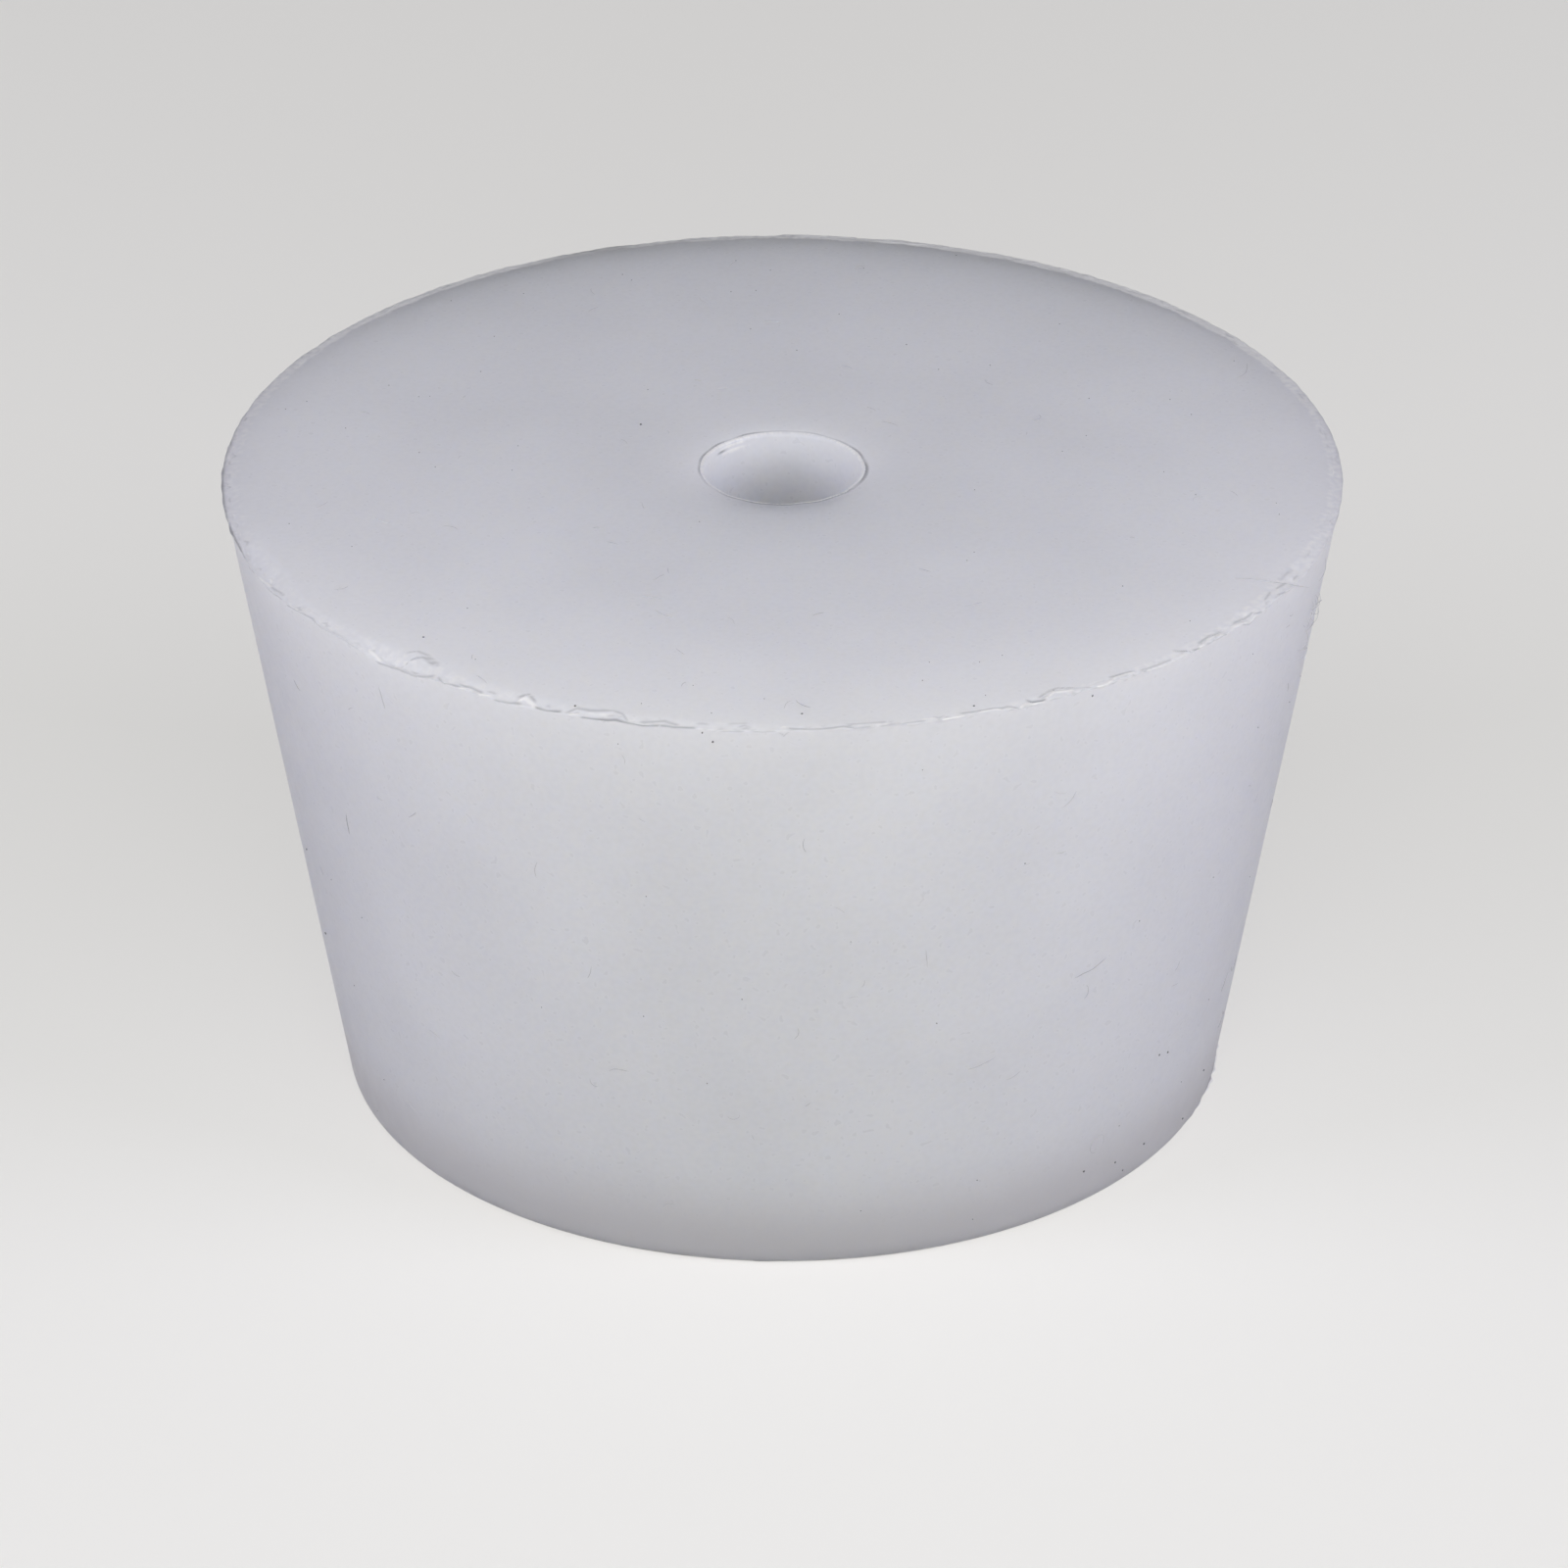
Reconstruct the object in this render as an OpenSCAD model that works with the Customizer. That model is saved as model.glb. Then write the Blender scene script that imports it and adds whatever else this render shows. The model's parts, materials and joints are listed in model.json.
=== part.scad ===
// One-hole laboratory stopper, moulded in one piece in milky silicone rubber.
// It stands on its narrow end. The origin is the centre of that end and +Z points to the wide end.

/* [Body] */
// Diameter of the moulded wall at the wide end
wide_d = 45; // [42:0.5:60]
// Diameter that the tapered wall would reach at the narrow face
narrow_d = 36; // [24:0.5:40]
// Height from the narrow face to the wide face
body_h = 26.5; // [15:0.5:45]
// Radius moulded on the edge of the narrow end
foot_r = 0.3; // [0.1:0.05:1]

/* [Bore] */
// Diameter of the straight hole that grips a tube
bore_d = 6.3; // [4:0.1:12]
// Width of the bevelled ring round the hole on the wide face
mouth_w = 0.2; // [0.1:0.05:0.6]
// Depth of the bevelled ring
mouth_h = 0.12; // [0.05:0.01:0.4]

/* [Trimmed rim] */
// Width of the rough band that the trimming knife left round the wide face
trim_w = 0.5; // [0.3:0.05:1.2]
// How far that band falls towards the rim
trim_h = 0.08; // [0.03:0.01:0.3]
// Thickness of the flash left at the mould's parting line
flash_t = 0.12; // [0.06:0.01:0.4]
// Average distance that the flash stands out from the wall
flash_out = 0.13; // [0.1:0.01:0.5]
// How far the torn edge of the flash wanders in and out
flash_wander = 0.07; // [0:0.01:0.09]

/* [Foot flash] */
// Direction of the scrap of flash left at the narrow end, in degrees from +X
foot_flash_at = -3; // [-180:1:180]
// Half the angle over which that scrap fades out
foot_flash_half = 15; // [10:1:60]
// How far it stands out from the wall at its middle
foot_flash_out = 0.18; // [0.1:0.01:0.5]
// Thickness of the scrap
foot_flash_t = 0.12; // [0.05:0.01:0.4]
// How far the scrap's torn edge wanders, as a share of what stands out
foot_flash_wander = 0.12; // [0:0.01:0.3]

/* [Hidden] */

wide_r = wide_d / 2;
narrow_r = narrow_d / 2;
bore_r = bore_d / 2;
// Angle between the wall and the axis
taper = atan((wide_r - narrow_r) / body_h);
// Height of the rim, where the band, the flash and the wall meet
rim_z = body_h - trim_h;
// The foot's arc touches the narrow face and the wall
foot_centre_r = narrow_r + foot_r * tan(taper) - foot_r / cos(taper);
foot_steps = 6;
// The scrap at the foot starts this deep inside the wall
foot_flash_root = foot_r;
// The lower face of the scrap lies in the middle of the foot's arc
foot_flash_z = foot_r / 2;
edge_step = 1; // degrees between the points of a torn edge
// The waves that a torn edge is made of: humps in a turn, weight and starting angle
tears = [[9, 1, 40], [23, 0.8, 115], [41, 0.7, 200], [61, 0.5, 300]];
tear_weights = [for (tear = tears) tear[1]];
tear_total = tear_weights * [for (tear = tears) 1];
turned_fn = 180;
over = 1; // how far a cutting tool runs past a face

// Radius of the tapered wall at height z
function wall_r(z) = narrow_r + z * tan(taper);

// The arc on the narrow end's edge, from the face up to the wall
function foot_arc() = [
    for (i = [0:foot_steps])
        let (a = -90 + (90 - taper) * i / foot_steps)
            [foot_centre_r + foot_r * cos(a), foot_r + foot_r * sin(a)]
];

// An uneven wave from -1 to 1 that closes after a full turn
function wave(a) = (tear_weights * [for (tear = tears) sin(tear[0] * a + tear[2])]) / tear_total;

// How an angle lies from a direction, from -180 to 180
function turn_from(a, at) = let (d = (a - at + 540) % 360) (d < 0 ? d + 360 : d) - 180;

// 1 at a direction, falling smoothly to nothing on both sides
function fade(a, at, half) = exp(-pow(turn_from(a, at) / half, 2));

// Radius of the torn edge of the rim's flash in the direction a
function rim_flash_r(a) = wide_r + flash_out + flash_wander * wave(a);

// Radius of the scrap's edge at the foot, which lies inside the wall away from the scrap
function foot_flash_r(a) =
    narrow_r - foot_flash_root
    + (foot_flash_root + foot_flash_out) * fade(a, foot_flash_at, foot_flash_half)
        * (1 + foot_flash_wander * wave(a));

// A thin disc whose edge follows a function of the angle
module torn_disc(z, thickness, edge_r) {
    translate([0, 0, z])
        linear_extrude(height = thickness)
            polygon([for (a = [0:edge_step:360 - edge_step]) edge_r(a) * [cos(a), sin(a)]]);
}

// The tapered plug, with the foot's arc and the band that the knife left at the rim
module plug() {
    rotate_extrude($fn = turned_fn)
        polygon(concat(
            [[0, 0]],
            foot_arc(),
            [[wall_r(rim_z), rim_z], [wall_r(rim_z) - trim_w, body_h], [0, body_h]]
        ));
}

// The straight hole for the tube, and the bevel at its mouth on the wide face
module bore() {
    translate([0, 0, -over])
        cylinder(r = bore_r, h = body_h + 2 * over, $fn = turned_fn);
    rotate_extrude($fn = turned_fn)
        polygon([
            [0, body_h - mouth_h],
            [bore_r, body_h - mouth_h],
            [bore_r + mouth_w, body_h],
            [bore_r + mouth_w, body_h + over],
            [0, body_h + over]
        ]);
}

module stopper() {
    color([0.80, 0.81, 0.84])
        difference() {
            union() {
                plug();
                torn_disc(rim_z - flash_t, flash_t, function(a) rim_flash_r(a));
                torn_disc(foot_flash_z, foot_flash_t, function(a) foot_flash_r(a));
            }
            bore();
        }
}

stopper();
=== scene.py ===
import json
import math

import bpy
import numpy as np
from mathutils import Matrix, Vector


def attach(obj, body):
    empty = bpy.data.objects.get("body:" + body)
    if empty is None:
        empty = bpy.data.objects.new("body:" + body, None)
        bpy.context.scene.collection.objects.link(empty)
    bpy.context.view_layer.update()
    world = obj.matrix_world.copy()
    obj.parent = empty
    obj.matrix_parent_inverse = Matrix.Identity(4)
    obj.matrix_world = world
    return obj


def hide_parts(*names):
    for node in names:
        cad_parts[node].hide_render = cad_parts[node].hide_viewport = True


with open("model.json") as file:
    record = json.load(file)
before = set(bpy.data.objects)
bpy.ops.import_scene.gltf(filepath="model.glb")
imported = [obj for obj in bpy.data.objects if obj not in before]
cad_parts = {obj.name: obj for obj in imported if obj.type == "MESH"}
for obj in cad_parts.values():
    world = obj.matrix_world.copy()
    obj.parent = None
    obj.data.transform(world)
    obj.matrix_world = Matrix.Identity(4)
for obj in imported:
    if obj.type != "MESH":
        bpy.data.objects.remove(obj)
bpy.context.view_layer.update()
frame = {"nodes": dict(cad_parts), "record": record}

MM = 0.001  # metres in a millimetre
TINY = 0.001  # mm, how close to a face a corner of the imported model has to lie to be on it

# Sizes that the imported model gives, in mm. Directions are in degrees from +X towards +Y.
cad_corners = np.array([v.co for v in frame["nodes"]["stopper"].data.vertices]) / MM
cad_reach = np.hypot(cad_corners[:, 0], cad_corners[:, 1])
tube_bore = next(m for m in frame["record"]["mounts"] if m["name"] == "tube_bore")
HEIGHT = cad_corners[:, 2].max()
BORE_R = tube_bore["dims"]["r_mm"]
MOUTH_DEPTH = HEIGHT - tube_bore["dims"]["length_mm"]
FACE_R = cad_reach[cad_corners[:, 2] > HEIGHT - TINY].max()  # the wide face inside the trimmed band
FOOT_FACE_R = cad_reach[cad_corners[:, 2] < TINY].max()  # the flat narrow face
LIP_R = cad_reach.max()  # the furthest point of the torn lip

# Small sizes of the moulding, in mm
BAND_W = 0.5  # the trimmed band
BAND_DROP = 0.08  # how far that band falls to the rim
FOOT_R = 0.3  # the radius on the foot's edge
MOUTH_W = 0.2  # the bevelled ring at the hole

# The rim, where the wall meets the trimmed band
RIM_R = FACE_R + BAND_W
RIM_HEIGHT = HEIGHT - BAND_DROP

# The wall leaves the foot's arc as a tangent and runs straight up to the rim
SPREAD = RIM_R - FOOT_FACE_R
RISE = RIM_HEIGHT - FOOT_R
LEAN = math.atan2(SPREAD, RISE) - math.asin(FOOT_R / math.hypot(SPREAD, RISE))  # from the axis, in radians

# Corners round each part of the moulding; each is a whole number of times the next that it meets
RIM_COUNT = 2160
FOOT_COUNT = 1080
MOUTH_COUNT = 720
FACE_COUNT = 360

# Where the rings of corners lie, in mm: radii on the two faces, heights on the wall and in the hole
FOOT_FACE_RINGS = (BORE_R + 0.03, BORE_R + 0.4, 8, 13, FOOT_FACE_R - 0.8)
WALL_RINGS = np.linspace(1.8, HEIGHT - 2.2, 7)
WIDE_FACE_RINGS = (20.8, 19, 16, 12, 8, 5.5, BORE_R + 0.8)
BORE_RINGS = (HEIGHT - 0.6, *np.linspace(HEIGHT - 2.5, 2.5, 5), 0.3, 0.03)
# At the rim they are distances from the torn edge, inwards over the trimmed band, or down the wall where
# they are negative
RIM_RINGS = (
    -0.9, -0.6, -0.45, -0.35, *np.arange(-0.26, 0.5, 0.04), 0.56, 0.64, 0.73, 0.83, 0.95, 1.07, 1.2,
)

# How far the edge between the wall and the trimmed band lies below the wide face, in mm, by direction
TRIM_DROP = {
    20: 0.04, 60: 0.04, 120: 0.05, 165: 0.06, 184: 0.14, 197: 0.20, 200: 0.45, 204: 0.50, 209: 0.30,
    214: 0.18, 222: 0.22, 226: 0.38, 231: 0.36, 234: 0.18, 242: 0.27, 248: 0.20, 251: 0.20, 254: 0.14,
    262: 0.11, 268: 0.09, 274: 0.03, 291: 0.02, 295.5: 0.10, 297: 0.02, 308: 0.02, 311: 0.10, 317: 0.03,
    322: 0.03, 324: 0.15, 326: 0.04, 331: 0.05, 336: 0.20, 345: 0.08,
}
# How far a lip stands out from the wall along that edge, in mm, by direction
LIP_OUT = {
    20: 0.03, 90: 0.02, 165: 0.03, 180: 0.09, 196: 0.11, 203: 0.05, 225: 0.03, 300: 0.03, 335: 0.05,
    350: 0.05,
}
# Width of the rough band that the knife left, in mm, by direction
BAND_WIDTH = {
    20: 0.6, 60: 0.6, 110: 0.5, 150: 0.6, 190: 0.9, 204: 0.9, 215: 0.5, 231: 1.0, 242: 0.6, 265: 0.35,
    290: 0.4, 312: 0.6, 330: 0.9, 345: 0.8,
}
# How white and frayed that band is, by direction
BAND_WHITE = {
    10: 0.4, 30: 0.7, 60: 0.9, 75: 0.9, 90: 0.6, 100: 0.6, 110: 0.35, 122: 0.7, 140: 0.7, 165: 0.4,
    190: 0.2, 206: 0.2, 215: 0.15, 226: 0.3, 233: 0.3, 240: 0.2, 255: 0.1, 280: 0.15, 300: 0.25, 312: 0.4,
    325: 0.45, 335: 0.45, 350: 0.35,
}

# Relief of the torn rim, in mm
EDGE_WAVES = 0.012  # how far the edge rises and falls over some millimetres
EDGE_RIPPLES = 0.006  # how far it does so over a millimetre or less
LEAST_DROP = 0.01  # how close the edge comes to the height of the wide face
STRAND_RELIEF = 0.035  # how proud a white strand stands, and how deep a dark crease lies
GRAIN_RELIEF = 0.005  # how rough the band is where it is white
LIP_BELOW = 0.02  # how far below the edge the lip stands out most
LIP_HALF = 0.07  # how far from there it has mostly faded out
LIP_UNEVEN = 0.15  # how unevenly it stands out, as a share
BAND_UNEVEN = 0.03  # how far the width of the band wanders
BAND_START = (-0.06, 0.04)  # between which distances from the edge the look of the band sets in
BAND_FULL = 0.6  # the share of its width over which the band keeps that look in full
EDGE_ROUND = 0.05  # how far on each side of the edge the surface turns from the wall to the band

# Strands of the torn flash on the near side. Each has its points, its half width in mm and its strength.
# A point is a direction and a distance in mm from the edge, inwards over the band, or down the wall where
# it is negative. The first strands stand proud and look white: the torn rubber's own white, and a painted
# highlight on their tops.
WHITE_STRANDS = (
    (((203, 0.0), (206, 0.1)), 0.06, 0.7), (((206.5, 0.0), (208.5, 0.05)), 0.05, 0.5),
    (((211, -0.07), (213, 0.0)), 0.05, 0.8), (((215.5, 0.1), (219, 0.1)), 0.06, 0.4),
    (((224, 0.2), (225.3, 0.1), (226.3, 0.03)), 0.08, 1.0),
    (((227.5, 0.3), (230, 0.5), (232, 0.5)), 0.12, 0.4),
    (((236.5, 0.0), (237.4, 0.1), (239, 0.0), (240, 0.1)), 0.06, 0.8),
    (((242.9, 0.1), (243.5, 0.35), (244.8, 0.12), (245.7, 0.0)), 0.09, 1.0),
    (((248.7, -0.03), (249.8, 0.12)), 0.06, 0.8), (((250.5, 0.2), (253, 0.28), (254.3, 0.2)), 0.06, 0.5),
    (((256.5, 0.0), (259.5, 0.08)), 0.05, 0.5), (((264, 0.12), (270, 0.1)), 0.05, 0.35),
    (((276.5, 0.1), (280, 0.1), (283, 0.06)), 0.06, 0.45), (((283.8, 0.14), (285.2, 0.1)), 0.06, 0.7),
    (((285.6, -0.03), (288, 0.0)), 0.06, 1.0), (((289.5, 0.08), (291.8, 0.1)), 0.07, 1.0),
    (((292.2, 0.1), (293.2, 0.0)), 0.05, 0.7),
    (((293.7, 0.0), (294.8, 0.1), (296.3, 0.0), (297, 0.18), (298, 0.38), (300, 0.2)), 0.09, 1.0),
    (((302.4, -0.03), (303.7, 0.0), (305, 0.2), (306.5, 0.2), (307.3, 0.12)), 0.08, 1.0),
    (((307.6, -0.03), (312.4, -0.05)), 0.06, 0.8), (((312.5, 0.05), (315.5, 0.1)), 0.08, 0.5),
    (((315.6, 0.0), (317.4, 0.16), (318.7, 0.14), (319.4, 0.0)), 0.09, 1.0),
    (((321, 0.12), (322.8, 0.05), (324, -0.1), (324.8, 0.0)), 0.08, 0.9),
    (((325, 0.25), (330, 0.3), (336, 0.3)), 0.14, 0.5), (((330, -0.05), (334, -0.08)), 0.06, 0.5),
)
# Where a fine crease is sunk, and painted shade colours it dark
DARK_STRANDS = (
    (((197, -0.38), (200, -0.22), (204, -0.06)), 0.06, 0.6), (((205.5, -0.15), (209, -0.12)), 0.05, 0.6),
    (((206, 0.1), (208.5, 0.14)), 0.04, 0.5), (((210, -0.2), (215.4, 0.03), (217, -0.14)), 0.05, 0.6),
    (((216.6, -0.06), (219.5, 0.0), (223, -0.08)), 0.1, 0.3),
    (((225.6, -0.14), (228, -0.02), (231, -0.02), (233, 0.2)), 0.09, 0.6),
    (((228.8, 0.12), (229.2, 0.6), (230.1, 0.85), (231.9, 0.7)), 0.07, 0.6),
    (((228.1, 0.75), (228.8, 1.05), (230, 1.05), (232.4, 0.75)), 0.07, 0.5),
    (((233.6, 0.17), (234.6, -0.07), (236.4, 0.1)), 0.06, 0.7),
    (((236.2, 0.18), (237.2, 0.23), (239, 0.15)), 0.05, 0.7),
    (((240.6, -0.03), (242, 0.0), (243.4, 0.1)), 0.07, 0.7),
    (((242.8, 0.34), (243.7, 0.55), (244.8, 0.3)), 0.06, 0.7),
    (((245.1, 0.05), (246.4, -0.02), (247.8, 0.1)), 0.07, 0.9),
    (((248.4, 0.1), (249.3, 0.34), (250.6, 0.34), (253, 0.5), (254, 0.37), (254.8, 0.07)), 0.06, 0.6),
    (((250, -0.04), (252.3, 0.05), (253.6, 0.08), (254.8, -0.04), (256.3, -0.1), (258, 0.0)), 0.07, 1.0),
    (((258, 0.0), (260.2, -0.03), (261.5, -0.02)), 0.07, 1.0),
    (((256, 0.1), (258.3, 0.25), (259.8, 0.12)), 0.06, 0.6), (((264, -0.04), (266.2, -0.03)), 0.05, 0.5),
    (((267.2, -0.06), (269.3, -0.03)), 0.05, 0.5), (((264.8, 0.33), (266.5, 0.4)), 0.06, 0.3),
    (((270.5, 0.12), (273, 0.03), (275, 0.08), (276.8, 0.15)), 0.05, 0.6),
    (((275.9, 0.15), (277, -0.04), (278.6, -0.03)), 0.05, 0.6), (((276.3, 0.25), (280.2, 0.24)), 0.06, 0.4),
    (((279.5, 0.0), (281.8, 0.0), (284, 0.05)), 0.05, 0.5),
    (((287.7, 0.22), (289.5, 0.18), (292.7, 0.17), (293.7, 0.0)), 0.06, 0.6),
    (((294.9, 0.3), (295.3, 0.17), (296.6, 0.06)), 0.07, 1.0),
    (((296.2, 0.3), (297.8, 0.58), (298.7, 0.66), (300.3, 0.36)), 0.06, 0.6),
    (((300.2, 0.34), (302.3, -0.05)), 0.05, 0.4), (((304.5, 0.36), (306.4, 0.3), (307.3, 0.24)), 0.06, 0.7),
    (((308, 0.12), (312, 0.1)), 0.05, 0.5), (((313.4, 0.44), (314.3, 0.18), (314.6, -0.04)), 0.06, 0.8),
    (((314.9, 0.05), (315.9, -0.07)), 0.06, 0.9), (((316.3, 0.25), (318.3, 0.32), (319.8, 0.22)), 0.06, 0.6),
    (((316.9, -0.06), (320, -0.06)), 0.05, 0.5), (((322, 0.27), (325.5, 0.22)), 0.06, 0.6),
    (((322.7, -0.05), (324.4, -0.2), (325.2, -0.12)), 0.05, 0.6), (((325.3, 0.1), (326.3, -0.1)), 0.06, 0.8),
    (((328, 0.3), (330, 0.45)), 0.06, 0.5), (((329.8, 0.1), (331.3, -0.07), (334.7, -0.1)), 0.06, 0.6),
    (((331, 0.38), (333, 0.3)), 0.06, 0.5), (((333, 0.6), (336, 0.5)), 0.07, 0.4),
)
# Strands that lie by chance, the far side's and the near side's small crinkles: how many, between which
# directions, their length in degrees, their distance from the edge in mm, and their strength
CHANCE_WHITE = (
    (60, (338, 515), (0.8, 3.0), (-0.05, 0.4), (0.3, 0.8)),
    (110, (166, 338), (0.4, 1.3), (-0.12, 0.25), (0.2, 0.6)),
)
CHANCE_DARK = (
    (40, (338, 515), (0.6, 2.0), (-0.05, 0.4), (0.1, 0.35)),
    (120, (166, 338), (0.3, 1.2), (-0.12, 0.25), (0.15, 0.5)),
)
CHANCE_BEND = 0.06  # how far in mm the middle of such a strand lies off its ends
CHANCE_HALF_WIDTH = (0.04, 0.06)  # in mm
STRAND_FADE = 0.3  # degrees on each side of its end over which a strand fades
WALL_NARROWING = 0.6  # how wide a strand is on the wall, as a share of its width on the band
# A direction that no strand crosses, at which the count of degrees round the rim starts
SEAM = 160

# Scraps of flash at the foot: middle and half length in degrees, and how far each stands out in mm
FOOT_SCRAPS = ((-3, 12, 0.15), (-15, 8, 0.05), (267.6, 1.2, 0.05))
SCRAP_RAGGED = 0.25  # how ragged their edge is, as a share of what stands out
SCRAP_WHITE = 0.12  # how far in mm a scrap stands out where it looks wholly white
FOOT_ARC_STEPS = 9  # steps between the rings of corners on the foot's rounded edge
SCRAP_AT = 0.55  # how far up that edge the scraps stand out most, as a share of it
SCRAP_HALF = 1.4  # how many steps from there they have mostly faded out
FOOT_MARGIN = 0.1  # how far in mm inside that edge the last ring of the narrow face lies
# Rings of corners on the wall just above the scraps: height in mm, and how white the scraps leave it
ABOVE_SCRAPS = ((0.5, 0.3), (0.9, 0.0))

# Strength of the dark line round the hole's mouth, a groove with painted shade, and of the white one inside
# it, a painted highlight on the torn bevel, by direction
MOUTH_DARK = {
    0: 1.0, 30: 0.9, 50: 0.5, 70: 0.3, 95: 0.3, 108: 0.6, 120: 0.7, 150: 0.8, 180: 0.9, 200: 0.5, 212: 0.1,
    225: 0.3, 245: 0.9, 290: 1.0, 320: 0.9, 345: 1.0,
}
MOUTH_WHITE = {
    0: 0.9, 30: 0.8, 60: 0.4, 90: 0.35, 108: 0.7, 118: 1.0, 145: 1.0, 175: 0.7, 200: 0.3, 225: 0.6,
    240: 0.9, 262: 0.5, 285: 0.7, 310: 0.7, 340: 0.9,
}
# Marks at the mouth: middle and half length in degrees, and strength. They are where the dark line is
# widest, the dark slit in the hole's wall, both with painted shade, and where that wall is torn white round
# the slit.
MOUTH_WIDE_DARK = ((-15, 28, 1.0),)
MOUTH_SLIT = ((141.5, 4.5, 1.0),)
MOUTH_TORN_WALL = ((130, 16, 0.8),)
# Relief of the mouth, in mm
MOUTH_WAVES = 0.012  # how far its torn edge wanders in and out
MOUTH_FRAY = 0.003  # how far that edge is frayed
MOUTH_GROOVE = 0.02  # the depth of the dark line
SLIT_CUT = 0.02  # how deep the slit cuts into the hole's wall
# Rings of corners across the slit: depth below the wide face in mm, and how much of the slit is there
SLIT_RINGS = ((0.20, 0.0), (0.24, 0.7), (0.28, 1.0), (0.32, 0.5), (0.37, 0.0))

# Dark specks that lie on the moulding: radius on the wide face or height on the wall, and direction
FACE_SPECKS = ((20.4, 227), (22.1, 249), (21.3, 272), (21.9, 289.5), (7.0, 145.5))
WALL_SPECKS = (
    (26.2, 262.2), (25.8, 263.2), (26.1, 302), (1.3, 317.5), (0.6, 319.5), (1.7, 311.5), (1.3, 323.5),
    (0.7, 334.5), (2.1, 340), (5.8, 323), (5.6, 325), (12, 196), (8, 196),
)
SPECK_HALF = 0.05  # half the width in mm of the specks above
STRAY_SPECKS = 60  # how many smaller ones lie by chance on the wide face, and as many on the wall
STRAY_SPECK_HALF = 0.025
FACE_DUST = (4, 22)  # between which radii those lie, in mm
WALL_DUST = (0.5, 26)  # and between which heights
# Rings of corners of a speck: height above the rubber and reach, as shares of half its width
SPECK_RINGS = ((-0.2, 0.8), (0.25, 1.0), (0.6, 0.6))

# Fibres of lint: radius or height, direction, heading in degrees, length in mm, bend in degrees per mm
FACE_FIBRES = (
    (20.8, 273, 200, 0.9, 70), (16.3, 198, 120, 0.9, 60), (13.9, 252.5, 175, 1.1, 50),
    (21.5, 27, 200, 1.6, 35), (20.3, 331, 75, 3.0, 18), (21.6, 237, 20, 0.8, 40),
    (12.5, 248, 160, 0.9, 30), (14.2, 300, 20, 0.8, -50), (10.6, 244, 100, 0.7, 40),
)
WALL_FIBRES = (
    (23.8, 225.6, 92, 1.0, 10), (2.6, 314, 60, 2.2, 130), (5.9, 340, 70, 0.9, -60),
    (14.5, 286, 100, 0.9, 40), (9.0, 292, 10, 1.2, 30), (18.0, 243, 95, 0.8, -30),
    (21.0, 300, 30, 0.9, 50), (16.0, 214, 80, 1.0, 20), (9.2, 252, 170, 0.9, 40), (12.2, 305, 5, 1.6, 25),
)
FIBRE_THICKNESS = 0.025  # in mm, as are the next two
FIBRE_LIFT = 0.02  # about how high a fibre stands off the rubber
FIBRE_STEP = 0.12  # the length between two rings of its corners
FIBRE_CURL = 6  # about how many degrees it turns by chance from one ring to the next
FIBRE_TAPER = 0.7  # how much thinner it is at its ends, as a share
END_LIFT = 0.3  # how high its ends stand off, as a share of its lift
# Fibres that lie by chance: how many, and their sizes in mm
STRAY_FIBRES = 110
FACE_LINT = (5, 21)  # between which radii on the wide face
WALL_LINT = (2, 25)  # between which heights on the wall
STRAY_LENGTH = (0.25, 0.8)
STRAY_THICKNESS = (0.015, 0.025)
STRAY_BEND = 90  # about how many degrees they bend per mm
# A tuft of lint that stands off the wall, by height in mm and direction, with how far its fibres scatter
TUFT_HEIGHT = 23.0
TUFT_DIRECTION = 342.5
TUFT_SCATTER = (0.48, 1.2)
TUFT_FIBRES = 14
TUFT_LENGTH = (0.5, 1.3)
TUFT_LIFT = (0.05, 0.3)
TUFT_THICKNESS = 0.02


def ring_angles(count):
    """Directions of the corners of a ring, in radians from +X towards +Y."""
    return np.arange(count) * 2 * math.pi / count


def by_direction(table, count):
    """Values of a table of directions at the corners of a ring, straight between its entries."""
    return np.interp(np.degrees(ring_angles(count)), list(table), list(table.values()), period=360)


def turn_from(count, degrees):
    """How far each corner of a ring lies from a direction, in degrees from -180 to 180."""
    return (np.degrees(ring_angles(count)) - degrees + 180) % 360 - 180


def stretches(places, count):
    """Soft humps round a ring, one for each middle, half length and strength."""
    total = np.zeros(count)
    for middle, half, strength in places:
        total += strength * np.exp(-((turn_from(count, middle) / half) ** 2))
    return total


def uneven(count, girth, shortest, longest, seed):
    """A random wave round a ring, its humps from the shortest to the longest length in mm, its spread 1."""
    chance = np.random.default_rng(seed)
    angles = ring_angles(count)
    wave = np.zeros(count)
    for turns in range(max(1, int(girth / longest)), int(girth / shortest) + 1):
        wave += chance.normal() * np.sin(turns * angles + chance.uniform(0, 2 * math.pi))
    return wave / wave.std()


def smooth_step(value, low, high):
    """0 below low, 1 above high, and a smooth rise between them."""
    share = np.clip((value - low) / (high - low), 0, 1)
    return share * share * (3 - 2 * share)


def wall_radius(height):
    """Radius of the tapered wall at a height."""
    return RIM_R - (RIM_HEIGHT - height) * math.tan(LEAN)


def new_piece(name, corners, faces):
    """A smooth-shaded mesh object from corners in mm."""
    mesh = bpy.data.meshes.new(name)
    mesh.from_pydata(np.asarray(corners) * MM, [], [[int(k) for k in face] for face in faces])
    mesh.polygons.foreach_set("use_smooth", [True] * len(mesh.polygons))
    mesh.update()
    thing = bpy.data.objects.new(name, mesh)
    bpy.context.scene.collection.objects.link(thing)
    return thing


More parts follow.
